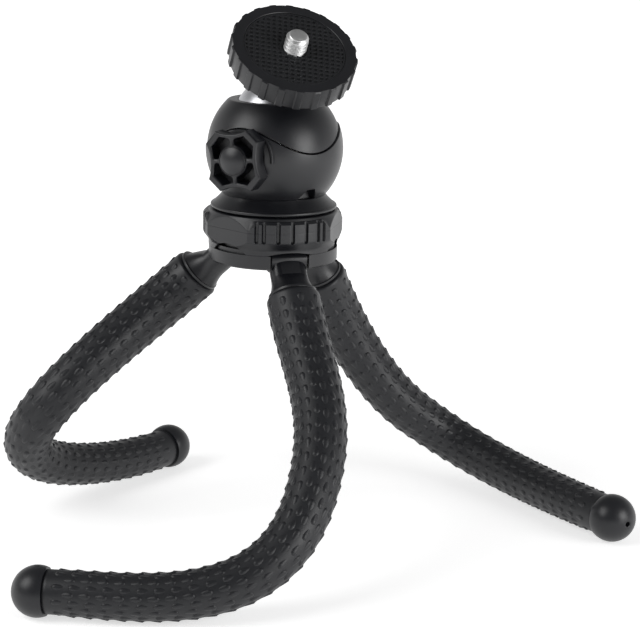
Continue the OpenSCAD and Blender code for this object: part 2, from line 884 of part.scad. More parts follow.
module ball_seat() {
    color(nylon)
    at_housing()
    difference() {
        translate([0, 0, -seat_drop]) cylinder(r = seat_r, h = seat_drop + seat_lip);
        translate([0, 0, ball_rise]) sphere(r = ball_r + run_fit);
    }
}

module pressure_pad() {
    color(nylon) at_knob() translate([0, 0, press_tip]) cylinder(d = press_d, h = press_end - press_tip);
}

module lock_bush() {
    color(brass)
    at_knob()
    difference() {
        translate([0, 0, bush_in]) cylinder(d = lock_bush_d, h = lock_bush_l);
        cylinder(r = lock_screw_r + run_fit, h = far);
    }
}

module lock_screw() {
    color(steel)
    at_knob()
    translate([0, 0, press_end])
    cylinder(r = lock_screw_r, h = lock_screw_end - press_end);
}

// Four round hollows, one on each side of the knob
module knob_hollows(inset) {
    for (turn = [0:90:270])
        rotate(turn) translate([knob_waist / 2 + side_r, 0]) circle(r = side_r + inset);
}

// Square with cut corners and hollow sides
module knob_outline(inset) {
    difference() {
        rotate(45) square(knob_span - 2 * inset, center = true);
        knob_hollows(inset);
    }
}

// Bar from one cut corner of the knob to the opposite one, bevelled along its edges
module corner_bar() {
    w = knob_span / 2;
    edge = [
        [-w, knob_edge], [knob_edge - w, 0], [w - knob_edge, 0], [w, knob_edge],
        [w, knob_t - knob_edge], [w - knob_edge, knob_t], [knob_edge - w, knob_t], [-w, knob_t - knob_edge]
    ];
    rotate([90, 0, 0]) linear_extrude(height = far, center = true) polygon(edge);
}

module knob_windows() {
    difference() {
        knob_outline(window_rim);
        circle(d = cap_d + window_rim);
        for (turn = [0, 90]) rotate(turn) square([far, spoke_w], center = true);
    }
}

module lock_knob() {
    color(plastic)
    at_knob()
    translate([0, 0, knob_back])
    rotate([0, 0, knob_turn])
    difference() {
        intersection() {
            translate([0, 0, -knob_edge]) linear_extrude(height = knob_t + 2 * knob_edge) difference() {
                circle(r = knob_span);
                knob_hollows(0);
            }
            rotate([0, 0, 45]) corner_bar();
            rotate([0, 0, -45]) corner_bar();
        }
        translate([0, 0, knob_t - window_depth]) linear_extrude(height = far) knob_windows();
        translate([0, 0, knob_t - cap_seat]) cylinder(d = cap_d, h = far);
        translate([0, 0, -eps]) cylinder(r = lock_screw_r, h = lock_screw_end - knob_back + eps);
    }
}

module knob_cap() {
    r = cap_d / 2;
    dome_r = (r * r + cap_dome * cap_dome) / (2 * cap_dome);
    color(plastic)
    at_knob()
    translate([0, 0, knob_face - cap_seat])
    intersection() {
        cylinder(r = r, h = far);
        translate([0, 0, cap_seat + cap_proud + cap_dome - dome_r]) sphere(r = dome_r);
    }
}

module ball() {
    color(silver)
    at_stem()
    difference() {
        union() {
            sphere(r = ball_r);
            cylinder(r = neck_r, h = plate_rise);
        }
        translate([0, 0, shank_end]) cylinder(r = shank_r, h = far);
    }
}

module camera_screw() {
    color(silver)
    at_stem() {
        translate([0, 0, shank_end]) cylinder(r = shank_r, h = pad_top - shank_end);
        translate([0, 0, pad_top]) cylinder(r = screw_r, h = screw_wall);
        translate([0, 0, pad_top + screw_wall])
            cylinder(r1 = screw_r, r2 = screw_r - screw_tip, h = screw_tip);
    }
}

module top_plate() {
    edge = [
        [0, 0], [plate_r - plate_edge, 0], [plate_r, plate_edge],
        [plate_r, plate_t - plate_edge], [plate_r - plate_edge, plate_t], [0, plate_t]
    ];
    flute_w = PI * plate_r / flute_count;
    color(plastic)
    at_stem()
    translate([0, 0, plate_rise])
    difference() {
        rotate_extrude() polygon(edge);
        for (i = [0:flute_count - 1])
            rotate([0, 0, flute_turn + 360 * i / flute_count])
            translate([plate_r - flute_depth, -flute_w / 2, -eps])
            cube([far, flute_w, plate_t + 2 * eps]);
        translate([0, 0, plate_t - pad_sink - pad_t]) cylinder(r = pad_r, h = far);
        translate([0, 0, -eps]) cylinder(r = shank_r + run_fit, h = far);
    }
}

module top_pad() {
    color(rubber)
    at_stem()
    translate([0, 0, pad_top - pad_t])
    difference() {
        cylinder(r = pad_r, h = pad_t);
        translate([0, 0, -eps]) cylinder(r = screw_r + air, h = far);
    }
}

module leg_piece(leg, piece) {
    if (piece == "hinge_pin") hinge_pin(leg);
    if (piece == "ferrule") ferrule(leg);
    if (piece == "core") core(leg);
    if (piece == "sleeve_upper") sleeve_upper(leg);
    if (piece == "sleeve_flex") sleeve_flex(leg);
    if (piece == "sleeve_lower") sleeve_lower(leg);
    if (piece == "foot") foot(leg);
}

camera_screw();
top_pad();
top_plate();
ball();
upper_shell();
lower_shell();
ball_seat();
pressure_pad();
lock_bush();
lock_screw();
lock_knob();
knob_cap();
shoulder();
head_bush();
head_screws();
pan_washer();
hub_cover();
hub();
pan_stud();
hub_screws();
for (leg = LEGS, piece = LEG_PIECES)
    leg_piece(leg, piece);
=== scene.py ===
import json
import math

import bmesh
import bpy
import numpy as np
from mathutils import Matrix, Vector


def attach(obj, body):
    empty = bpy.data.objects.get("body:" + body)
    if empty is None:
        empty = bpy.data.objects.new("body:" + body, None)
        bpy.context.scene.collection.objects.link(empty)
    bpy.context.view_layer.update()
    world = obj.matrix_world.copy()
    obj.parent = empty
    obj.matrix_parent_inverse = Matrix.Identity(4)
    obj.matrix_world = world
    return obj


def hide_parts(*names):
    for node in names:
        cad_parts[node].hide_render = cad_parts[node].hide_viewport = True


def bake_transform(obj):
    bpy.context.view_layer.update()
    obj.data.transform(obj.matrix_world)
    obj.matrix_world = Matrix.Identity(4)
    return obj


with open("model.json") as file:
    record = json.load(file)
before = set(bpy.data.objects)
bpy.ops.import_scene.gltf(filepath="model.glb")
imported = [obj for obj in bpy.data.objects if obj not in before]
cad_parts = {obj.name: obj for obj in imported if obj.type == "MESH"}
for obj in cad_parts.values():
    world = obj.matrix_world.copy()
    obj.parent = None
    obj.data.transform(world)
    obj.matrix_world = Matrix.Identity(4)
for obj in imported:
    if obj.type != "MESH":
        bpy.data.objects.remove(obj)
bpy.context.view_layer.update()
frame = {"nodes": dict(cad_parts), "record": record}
scene = bpy.context.scene
scene.view_settings.view_transform = "Standard"
mm = 0.001
print("frame loaded:", len(frame["nodes"]), "nodes")


# sRGB hex to linear light, channel by channel
def hexColour(text):
    c = np.array([int(text[i:i + 2], 16) for i in (1, 3, 5)]) / 255
    return (*np.where(c <= 0.04045, c / 12.92, ((c + 0.055) / 1.055) ** 2.4), 1.0)


# one node: settings are its properties, sockets its input values or the outputs that feed them
def addNode(tree, kind, sockets=None, **settings):
    node = tree.nodes.new(kind)
    for key, value in settings.items():
        setattr(node, key, value)
    for key, value in (sockets or {}).items():
        if isinstance(value, bpy.types.NodeSocket):
            tree.links.new(value, node.inputs[key])
        else:
            node.inputs[key].default_value = value
    return node


def turnX(deg):
    c, s = math.cos(math.radians(deg)), math.sin(math.radians(deg))
    return np.array([[1, 0, 0], [0, c, -s], [0, s, c]])


def turnY(deg):
    c, s = math.cos(math.radians(deg)), math.sin(math.radians(deg))
    return np.array([[c, 0, s], [0, 1, 0], [-s, 0, c]])


def turnZ(deg):
    c, s = math.cos(math.radians(deg)), math.sin(math.radians(deg))
    return np.array([[c, -s, 0], [s, c, 0], [0, 0, 1]])


# a place is a turn and a move; a step on it is turned with it
def step(place, turn=np.eye(3), move=(0, 0, 0)):
    return place[0] @ turn, place[1] + place[0] @ np.array(move, float)


def put(points, place):
    return points @ place[0].T + place[1]


def unit(v):
    return v / np.linalg.norm(v, axis=-1, keepdims=True)


def smooth(x):
    x = np.clip(x, 0, 1)
    return x * x * (3 - 2 * x)


# profile with rounded corners: a quadratic curve from radius before each corner to radius after it
def rounded(profile, radii, steps=4):
    p = np.array(profile, float)
    r = np.broadcast_to(np.array(radii, float), len(p) - 2)[:, None]
    a = p[1:-1] + unit(p[:-2] - p[1:-1]) * r
    b = p[1:-1] + unit(p[2:] - p[1:-1]) * r
    t = np.linspace(0, 1, steps + 1)[None, :, None]
    arcs = (1 - t) ** 2 * a[:, None] + 2 * t * (1 - t) * p[1:-1, None] + t ** 2 * b[:, None]
    return np.concatenate([p[:1], arcs.reshape(-1, 2), p[-1:]])


# profile (radius, height) turned about z: x = r sin a, y = -r cos a
def revolved(profile, columns=96):
    a = np.linspace(0, 2 * np.pi, columns, endpoint=False)
    r, z = profile[:, 0, None], profile[:, 1, None]
    return np.stack([r * np.sin(a), -r * np.cos(a), z + 0 * a], -1)


# faces of a grid of rows and columns; a closed grid joins its last column to its first
def gridFaces(rows, columns, start, closed):
    index = start + np.arange(rows * columns).reshape(rows, columns)
    after = np.roll(index, -1, 1) if closed else index[:, 1:]
    index = index if closed else index[:, :-1]
    return np.stack([index[:-1], after[:-1], after[1:], index[1:]], -1).reshape(-1, 4)


# rows of a hollow ring, with the first row again at the end so that the section closes
def looped(points):
    return np.concatenate([points, points[:1]])


# one mesh from several grids of points in millimetres; coincident points at seams and poles are merged
def makePiece(name, grids, material, body=None, stands=(), sharp=40, solid=True):
    points, faces, start = [], [], 0
    for grid, closed, *kept in grids:
        block = grid.reshape(-1, *grid.shape[-3:])
        rows, columns = block.shape[1:3]
        one = gridFaces(rows, columns, 0, closed)
        one = one[kept[0].ravel()] if kept else one
        offsets = start + np.arange(len(block))[:, None, None] * rows * columns
        faces.append((one[None] + offsets).reshape(-1, 4))
        points.append(block.reshape(-1, 3))
        start += len(block) * rows * columns
    points, faces = np.concatenate(points) * mm, np.concatenate(faces)
    used, place = np.unique(faces, return_inverse=True)
    points, faces = points[used], place.reshape(-1, 4)
    mesh = bpy.data.meshes.new(name)
    mesh.from_pydata(points, [], faces)
    if solid:
        work = bmesh.new()
        work.from_mesh(mesh)
        bmesh.ops.remove_doubles(work, verts=work.verts, dist=2e-7)
        bmesh.ops.dissolve_degenerate(work, edges=work.edges, dist=1e-8)
        bmesh.ops.recalc_face_normals(work, faces=work.faces)
        work.to_mesh(mesh)
        work.free()
    mesh.shade_smooth()
    mesh.set_sharp_from_angle(angle=math.radians(sharp))
    mesh.materials.append(material)
    piece = bpy.data.objects.new(name, mesh)
    scene.collection.objects.link(piece)
    if body:
        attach(piece, body)
    if stands:
        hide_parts(*stands)
    return piece


# charcoal ABS, moulded in a spark-eroded tool: satin, with a fine even grain that breaks up the highlight
def mouldedAbs():
    look = {"dark": "#0f1014", "light": "#15161b", "grain": 0.35, "cloud": 9.0, "roughness": (0.34, 0.42),
            "depth": 0.008}
    mat = bpy.data.materials.new("charcoal moulded ABS")
    mat.use_nodes = True
    tree = mat.node_tree
    shader = tree.nodes["Principled BSDF"]
    where = addNode(tree, "ShaderNodeTexCoord").outputs["Object"]
    cloud = addNode(tree, "ShaderNodeTexNoise", {"Vector": where, "Scale": 1000 / look["cloud"], "Detail": 3.0})
    grain = addNode(tree, "ShaderNodeTexNoise", {"Vector": where, "Scale": 1000 / look["grain"], "Detail": 2.0})
    tint = addNode(tree, "ShaderNodeMix", {"Factor": cloud.outputs["Fac"]}, data_type="RGBA")
    tint.inputs["A"].default_value = hexColour(look["dark"])
    tint.inputs["B"].default_value = hexColour(look["light"])
    rough = addNode(tree, "ShaderNodeMapRange", {"Value": cloud.outputs["Fac"], "From Min": 0.3, "From Max": 0.7,
                                                 "To Min": look["roughness"][0], "To Max": look["roughness"][1]})
    bump = addNode(tree, "ShaderNodeBump", {"Height": grain.outputs["Fac"], "Strength": 0.25,
                                            "Distance": look["depth"] * mm})
    tree.links.new(tint.outputs["Result"], shader.inputs["Base Color"])
    tree.links.new(rough.outputs["Result"], shader.inputs["Roughness"])
    tree.links.new(bump.outputs["Normal"], shader.inputs["Normal"])
    shader.inputs["IOR"].default_value = 1.53
    return mat


# soft thermoplastic rubber, moulded: dull sheen, faint bloom in clouds, grain of the tool
def mouldedRubber(name, dark, light, roughness, grain, depth):
    mat = bpy.data.materials.new(name)
    mat.use_nodes = True
    tree = mat.node_tree
    shader = tree.nodes["Principled BSDF"]
    where = addNode(tree, "ShaderNodeTexCoord").outputs["Object"]
    cloud = addNode(tree, "ShaderNodeTexNoise", {"Vector": where, "Scale": 1000 / 14, "Detail": 4.0})
    fine = addNode(tree, "ShaderNodeTexNoise", {"Vector": where, "Scale": 1000 / grain, "Detail": 2.0})
    tint = addNode(tree, "ShaderNodeMix", {"Factor": cloud.outputs["Fac"]}, data_type="RGBA")
    tint.inputs["A"].default_value = hexColour(dark)
    tint.inputs["B"].default_value = hexColour(light)
    rough = addNode(tree, "ShaderNodeMapRange", {"Value": cloud.outputs["Fac"], "From Min": 0.3, "From Max": 0.7,
                                                 "To Min": roughness[0], "To Max": roughness[1]})
    bump = addNode(tree, "ShaderNodeBump", {"Height": fine.outputs["Fac"], "Strength": 0.3, "Distance": depth * mm})
    tree.links.new(tint.outputs["Result"], shader.inputs["Base Color"])
    tree.links.new(rough.outputs["Result"], shader.inputs["Roughness"])
    tree.links.new(bump.outputs["Normal"], shader.inputs["Normal"])
    shader.inputs["IOR"].default_value = 1.5
    return mat


# metal with a turned or plated face: faint smears in the roughness
def plainMetal(name, colour, roughness, smear):
    mat = bpy.data.materials.new(name)
    mat.use_nodes = True
    tree = mat.node_tree
    shader = tree.nodes["Principled BSDF"]
    where = addNode(tree, "ShaderNodeTexCoord").outputs["Object"]
    streak = addNode(tree, "ShaderNodeTexNoise", {"Vector": where, "Scale": 1000 / smear, "Detail": 3.0})
    rough = addNode(tree, "ShaderNodeMapRange", {"Value": streak.outputs["Fac"], "From Min": 0.3, "From Max": 0.7,
                                                 "To Min": roughness * 0.8, "To Max": roughness * 1.25})
    tree.links.new(rough.outputs["Result"], shader.inputs["Roughness"])
    shader.inputs["Base Color"].default_value = hexColour(colour)
    shader.inputs["Metallic"].default_value = 1.0
    return mat


plastic = mouldedAbs()
legRubber = mouldedRubber("charcoal leg rubber", "#15161a", "#1d1e22", (0.4, 0.5), 0.4, 0.015)
footRubber = mouldedRubber("smooth foot rubber", "#17181c", "#1d1e22", (0.36, 0.44), 0.3, 0.008)
padRubber = mouldedRubber("black pad rubber", "#101114", "#17181c", (0.5, 0.6), 0.3, 0.01)
silver = plainMetal("bright turned alloy", "#c9cacd", 0.34, 3.0)
plated = plainMetal("zinc plated steel", "#e2e2e2", 0.4, 1.5)
wire = plainMetal("soft core wire", "#a9abae", 0.4, 2.0)
bronze = plainMetal("machined brass", "#c8a45a", 0.3, 2.0)
nylon = mouldedRubber("white nylon", "#dcdad4", "#e8e6e0", (0.4, 0.5), 0.4, 0.01)

finishes = {"black_plastic": plastic, "leg_rubber": legRubber, "pad_rubber": padRubber,
            "silver_metal": silver, "steel": plated, "core_metal": wire, "brass": bronze, "white_nylon": nylon}
slotOf = {s["node"]: s["material_slot"] for s in frame["record"]["subparts"]}
for name, node in frame["nodes"].items():
    node.data.materials.clear()
    node.data.materials.append(finishes[slotOf[name]])
print("materials set")


# places of the main pieces, in millimetres and degrees
hub = {"place": (-12.3, 21.6), "tip": 1.2, "pivotZ": 79.0, "pivotR": 13.5, "legAzimuth": 17.0}


def hubPlace(z):
    turn = turnY(hub["tip"])
    return turn, np.array([*hub["place"], hub["pivotZ"]]) + turn @ np.array([0, 0, z - hub["pivotZ"]])


# heights in the stack from hub to housing, and the directions of the stem and the knob
discZ, ringZ, ringTopZ, shoulderZ, housingZ = 80.5, 84.0, 91.1, 91.5, 108.3
head = {"ballRise": 8.5, "stemAzimuth": 20, "stemLean": 37, "knobAzimuth": -28.5, "knobDrop": 0.9}
stemPlace = step(hubPlace(housingZ + head["ballRise"]), turnZ(head["stemAzimuth"]) @ turnX(head["stemLean"]))
knobPlace = step(hubPlace(housingZ - head["knobDrop"]), turnZ(head["knobAzimuth"]) @ turnX(90))


legs = {
    "front": {"azimuth": 17, "splay": 39, "knee": (11, -66, 27), "aim": (-21, 44), "handles": (24, 26, 36, 24),
              "foot": (-58.5, -80.5), "footAim": -98},
    "left": {"azimuth": -103, "splay": 47, "knee": (-69, -13.5, 29.5), "aim": (-139, 49), "handles": (19, 22, 24, 27),
             "foot": (-34.5, 40.5), "footAim": 145},
    "right": {"azimuth": 137, "splay": 31, "knee": (43, 24, 22), "aim": (110, 38), "handles": (23, 18, 29, 28),
              "foot": (96, -26), "footAim": 34},
}
sleeve = {"topR": 7.9, "footR": 6.1, "round": 1.2, "rootL": 12.0, "flexStart": 30.0, "flexL": 22.0,
          "boreR": 2.4, "footEdge": 0.15, "columns": 64, "pitch": 1.0}
core = {"r": 2.2, "inRoot": 5.0}
nub = {"rows": 18, "pitch": 4.3, "length": 3.7, "width": 2.2, "height": 0.38, "first": 4.2, "last": 2.2}
foot = {"r": 6.75, "lip": 0.2, "holeR": 0.7, "holeL": 2.0}
footSeat = math.sqrt(foot["r"] ** 2 - (sleeve["footR"] + foot["lip"]) ** 2)


# direction at an azimuth from -Y and a dip below level
def aim(azimuth, dip):
    a, d = math.radians(azimuth), math.radians(dip)
    return np.array([math.sin(a) * math.cos(d), -math.cos(a) * math.cos(d), -math.sin(d)])


def bezier(a, b, c, d, t):
    t = t[:, None]
    return (1 - t) ** 3 * a + 3 * t * (1 - t) ** 2 * b + 3 * t * t * (1 - t) * c + t ** 3 * d


# centre line of a leg: two cubic curves that meet at the knee, as tables of length, point, heading and side
def legLine(leg):
    tip = turnY(hub["tip"])
    out = np.array([*hub["place"], 0.0])
    rootAim = tip @ aim(leg["azimuth"], 90 - leg["splay"])
    start = out + [0, 0, hub["pivotZ"]] + hub["pivotR"] * (tip @ aim(leg["azimuth"], 0)) + sleeve["rootL"] * rootAim
    footAim = aim(leg["footAim"], 0)
    centre = out + np.array([*leg["foot"], foot["r"]])
    end = centre - footSeat * footAim
    knee, kneeAim, h = out + np.array(leg["knee"], float), aim(*leg["aim"]), leg["handles"]
    t = np.linspace(0, 1, 241)
    upper = bezier(start, start + h[0] * rootAim, knee - h[1] * kneeAim, knee, t)
    lower = bezier(knee, knee + h[2] * kneeAim, end - h[3] * footAim, end, t)
    line = np.concatenate([upper, lower[1:]])
    length = np.concatenate([[0], np.cumsum(np.linalg.norm(np.diff(line, axis=0), axis=1))])
    heading = np.gradient(line, length, axis=0)
    heading[0], heading[-1] = rootAim, footAim
    heading = unit(heading)
    across = unit(np.cross(rootAim, footAim))
    side = unit(across - (heading @ across)[:, None] * heading)
    return {"s": length, "point": line, "heading": heading, "side": side, "total": length[-1],
            "footCentre": centre, "footAim": footAim, "rootAim": rootAim}


# values of a table at distances s, one column at a time
def along(line, key, s):
    return np.stack([np.interp(s, line["s"], line[key][:, k]) for k in range(3)], -1)


# point at distance s, turned round the line by a, at radius r
def onLeg(line, s, a, r):
    heading = unit(along(line, "heading", s))
    side = along(line, "side", s)
    side = unit(side - (side * heading).sum(-1, keepdims=True) * heading)
    other = np.cross(heading, side)
    return along(line, "point", s) + r[..., None] * (np.cos(a)[..., None] * side + np.sin(a)[..., None] * other)


# radius over the nubs: a straight taper from the ferrule to the foot
def sleeveR(line, s):
    return sleeve["topR"] + (sleeve["footR"] - sleeve["topR"]) * s / line["total"]


# bare sleeve between the nubs: tube with a rounded upper edge, closed at both ends on the core
def sleeveSkin(line):
    total, edge, chamfer = line["total"], sleeve["round"], sleeve["footEdge"]
    turn = np.radians(np.linspace(0, 90, 6))
    straight = np.linspace(edge, total - chamfer, int(total / sleeve["pitch"]))[1:]
    s = np.concatenate([[0], edge * (1 - np.cos(turn)), straight, [total, total]])
    r = sleeveR(line, s) - nub["height"]
    r[1:7] -= edge * (1 - np.sin(turn))
    r[-2] -= chamfer
    r[[0, -1]] = sleeve["boreR"]
    a = np.linspace(0, 2 * np.pi, sleeve["columns"], endpoint=False)
    s, a = np.meshgrid(s, a, indexing="ij")
    return onLeg(line, s, a, np.broadcast_to(r[:, None], s.shape))


# raised drops: half width sqrt(1+u)(1-u), round and steep at u = -1, running out to a point at u = 1;
# neighbouring rows point opposite ways
def sleeveNubs(line):
    u = -np.cos(np.linspace(0, np.pi, 9))
    v = np.array([-1, -0.72, 0, 0.72, 1])
    half = np.sqrt(np.clip(1 + u, 0, None)) * (1 - u) / 1.0887 * nub["width"] / 2
    rise = np.clip((1 - u) / 1.7, 0, 1) * np.clip((1 + u) / 0.16, 0, 1)
    high = np.outer(rise, 1 - np.abs(v) ** 4) * (nub["height"] + 0.1) - 0.1
    count = int((line["total"] - nub["first"] - nub["last"]) / nub["pitch"])
    ring, row = np.meshgrid(np.arange(count), np.arange(nub["rows"]), indexing="ij")
    ring, row = ring.ravel(), row.ravel()
    s0 = nub["first"] + nub["pitch"] * (ring + 0.5 * (row % 2))
    a0 = 2 * np.pi * row / nub["rows"]
    way = np.where(row % 2 == 0, 1.0, -1.0)
    s = s0[:, None, None] + way[:, None, None] * (u * nub["length"] / 2)[None, :, None] + 0 * v
    base = sleeveR(line, s) - nub["height"]
    narrow = sleeveR(line, s) / sleeve["topR"]
    a = a0[:, None, None] + way[:, None, None] * half[None, :, None] * v * narrow / base
    keep = (s.max((1, 2)) < line["total"] - 0.4)
    return onLeg(line, s, a, base + high)[keep]


def makeLeg(name, leg):
    line = legLine(leg)
    grids = [(sleeveSkin(line), True), (sleeveNubs(line), False)]
    stretches = [name + n for n in ("_sleeve_upper", "_sleeve_flex", "_sleeve_lower")]
    piece = makePiece(name + "Sleeve", grids, legRubber, stands=stretches, sharp=60, solid=False)
    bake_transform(piece)
    # the core: a plain round wire from inside the ferrule to the middle of the foot
    s, a = np.meshgrid(np.linspace(0, line["total"], 90), np.linspace(0, 2 * np.pi, 16, endpoint=False), indexing="ij")
    rod = onLeg(line, s, a, np.full(s.shape, core["r"]))
    ends = np.concatenate([rod[:1] - core["inRoot"] * line["rootAim"], rod, rod[-1:] + footSeat * line["footAim"]])
    tips = ends.mean(1, keepdims=True)[[0, -1]] + 0 * ends[[0, -1]]
    closed = np.concatenate([tips[:1], ends, tips[1:]])
    rodPiece = makePiece(name + "Core", [(closed, True)], wire, stands=[name + "_core"])
    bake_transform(rodPiece)
    makeFoot(name, line)
    makeFerrule(name, leg)
    print(name, "leg:", len(piece.data.polygons), "faces")


# foot: a ball with a square seat for the sleeve, a fine step at the seam and a small hole at the tip
def makeFoot(name, line):
    r, seat = foot["r"], footSeat
    low = math.acos(-seat / r)
    t = np.linspace(low, math.asin(foot["holeR"] * 1.5 / r), 40)
    ball = np.stack([r * np.sin(t), r * np.cos(t)], -1)
    hole = [[foot["holeR"] * 1.1, r - 0.22], [foot["holeR"], r - 0.5],
            [foot["holeR"], r - foot["holeL"]], [0, r - foot["holeL"]]]
    profile = np.concatenate([[[0, -seat], [ball[0, 0] - 0.3, -seat], [ball[0, 0] - 0.08, -seat + 0.02]], ball, hole])
    z = line["footAim"]
    x = unit(np.cross([0, 0, 1.0], z))
    place = (np.stack([x, np.cross(z, x), z], 1), line["footCentre"])
    makePiece(name + "Foot", [(put(revolved(profile, 72), place), True)], footRubber,
              name + "_tip", [name + "_foot"])


ferrule = {"knuckleR": 3.8, "w": 10.4, "neck": 6.2, "endR": 6.75, "rim": 1.0, "rimStep": 0.35,
           "facetY": 3.4, "facetOut": 0.6, "soft": 1.8}


# ferrule: a trumpet turned about the leg, softly flattened on the upper side of its neck, on a cylinder across
# the hinge pin
def makeFerrule(name, leg):
    place = step(hubPlace(hub["pivotZ"]), turnZ(leg["azimuth"]))
    place = step(place, turnX(-leg["splay"]), (0, -hub["pivotR"], 0))
    f, total = ferrule, sleeve["rootL"]
    t = np.linspace(0, 1, 14)
    half, flareL = f["w"] / 2, total - f["rim"] - f["neck"]
    flare = np.stack([half + (f["endR"] - f["rimStep"] - half) * t ** 2, -f["neck"] - flareL * t], -1)
    rim = rounded([flare[-2], flare[-1], [f["endR"], -total + f["rim"] - 0.1], [f["endR"], -total + 0.1],
                   [f["endR"] - 0.4, -total], [2.5, -total]], 0.12, 3)
    profile = np.concatenate([[[0, 0], [half - 0.4, 0], [half, -0.4]], flare[:-1], rim[1:], [[0, -total]]])
    body = revolved(profile, 120)
    out = np.clip((-f["neck"] - body[..., 2]) / flareL, 0, 1)
    flat = f["facetY"] + (f["endR"] + f["facetOut"] - f["facetY"]) * out
    over = body[..., 1] + flat
    body[..., 1] = np.where(out < 1, (over + np.sqrt(over ** 2 + f["soft"] ** 2)) / 2 - flat, body[..., 1])
    drum = rounded([[0, -half], [f["knuckleR"], -half], [f["knuckleR"], half], [0, half]], 0.3, 3)
    knuckle = revolved(drum, 64)[..., [2, 0, 1]]
    knuckle[..., 1] = np.maximum(knuckle[..., 1], -f["facetY"])
    makePiece(name + "Ferrule", [(put(body, place), True), (put(knuckle, place), True)], plastic,
              name + "_leg", [name + "_ferrule"], sharp=30)


for name, leg in legs.items():
    makeLeg(name, leg)


cover = {"r": 20.1, "topR": 18.2, "drop": 3.1, "skirtR": 18.5, "skirtT": 0.8, "sweep": (81.8, 84.8), "flat": 18.5,
         "ribEnd": 35.4, "ribRise": 6.5, "grooves": (0.0, 11.6, 23.2, 29.2), "groove": 0.9, "grooveDeep": 0.8,
         "ribTop": 0.7, "part": (87.2, 0.07, 0.06), "vent": (12.6, 2.6), "arch": (13.0, 0.9), "stud": 5.2,
         "columns": 960}


# angle to the nearest of three directions 120 degrees apart
def nearest(a, centre):
    return (a - centre + 60) % 120 - 60


# rise of a circular arch of a width and a height, at distance x from its middle
def archRise(x, size):
    width, rise = size
    r = (width * width / 4 + rise * rise) / (2 * rise)
    return np.clip(np.sqrt(np.clip(r * r - x * x, 0, None)) - (r - rise), 0, None)


# cover: a ring whose profile changes with azimuth; ribs over the legs, flats between them, an S curve down to the skirt
def makeCover():
    c = cover
    a = np.linspace(-180, 180, c["columns"], endpoint=False)
    toLeg, toFlat = nearest(a, hub["legAzimuth"]), nearest(a, hub["legAzimuth"] + 60)
    one = np.ones_like(a)
    rib = np.clip((c["ribEnd"] - np.abs(toLeg)) / c["ribRise"], 0, 1)
    gap = np.abs(np.abs(toLeg)[:, None] - np.array(c["grooves"])).min(1) * np.pi / 180 * c["r"]
    groove = c["grooveDeep"] * smooth((c["groove"] / 2 - gap) / 0.35 + 0.5)
    low = discZ + np.maximum(archRise(c["skirtR"] * np.sin(np.radians(toLeg)), c["arch"]) * (np.abs(toLeg) < 50),
                             archRise(c["skirtR"] * np.sin(np.radians(toFlat)), c["vent"]) * (np.abs(toFlat) < 50))

    def sweep(z):
        return c["skirtR"] + (c["r"] - c["skirtR"]) * smooth((z - c["sweep"][0]) / (c["sweep"][1] - c["sweep"][0]))

    inner = c["skirtR"] - c["skirtT"]
    rows = [(inner * one, ringZ + 0.5 * one), (inner * one, low + 0.12), ((inner + 0.12) * one, low),
            (sweep(low) - 0.15, low)]
    for part in np.linspace(0, 1, 18):
        z = (low + 0.15) * (1 - part) + c["sweep"][1] * part
        rows.append((sweep(z), z))
    # upright wall, then the sloping top: with ribs it rises higher before it turns inwards
    high = ringTopZ - c["ribTop"]
    slopeR = c["r"] - (high - ringTopZ + c["drop"]) * (c["r"] - c["topR"]) / c["drop"]
    slopeZ, wallFoot = ringTopZ - c["drop"], [c["r"], c["sweep"][1]]
    brim = [[slopeR, high], [c["topR"] + 0.15, ringTopZ - 0.12], [c["topR"] - 0.1, ringTopZ]]
    plain = [wallFoot, [c["r"], slopeZ - 0.12], [c["r"] - 0.1, slopeZ + 0.1]] + brim
    ribbed = [wallFoot, [c["r"], high - c["ribTop"]], [c["r"] - c["ribTop"], high]] + brim
    fill = [np.linspace(0, 1, n, endpoint=False)[:, None] for n in (34, 4, 12, 4, 3)]
    lines = [np.concatenate([p[i] + (p[i + 1] - p[i]) * t for i, t in enumerate(fill)] + [p[-1:]])[1:]
             for p in (np.array(plain), np.array(ribbed))]
    wall = lines[0][:, None] + (lines[1] - lines[0])[:, None] * rib[None, :, None]
    r = np.concatenate([np.stack([p[0] for p in rows]), wall[..., 0]])
    z = np.concatenate([np.stack([p[1] for p in rows]), wall[..., 1]])
    r = np.minimum(r, c["r"] - groove * smooth((z - c["sweep"][1] + 0.8) / 0.8))
    r = np.minimum(r, c["flat"] / np.cos(np.radians(toFlat)))
    r = r - c["part"][1] * np.exp(-((z - c["part"][0]) / c["part"][2]) ** 2) * (r > inner + 0.6)
    r = np.concatenate([r, c["stud"] * one[None]])
    z = np.concatenate([z, ringTopZ * one[None]])
    a = np.radians(a)
    points = np.stack([r * np.sin(a), -r * np.cos(a), z], -1)
    makePiece("hubCover", [(put(looped(points), hubPlace(0)), True)], plastic,
              "hub", ["hub_cover"], sharp=28)


shoulder = {"r": 18.0, "topR": 14.7, "h": 4.0, "bead": 1.1, "beadOut": 0.3, "bulge": 0.35}


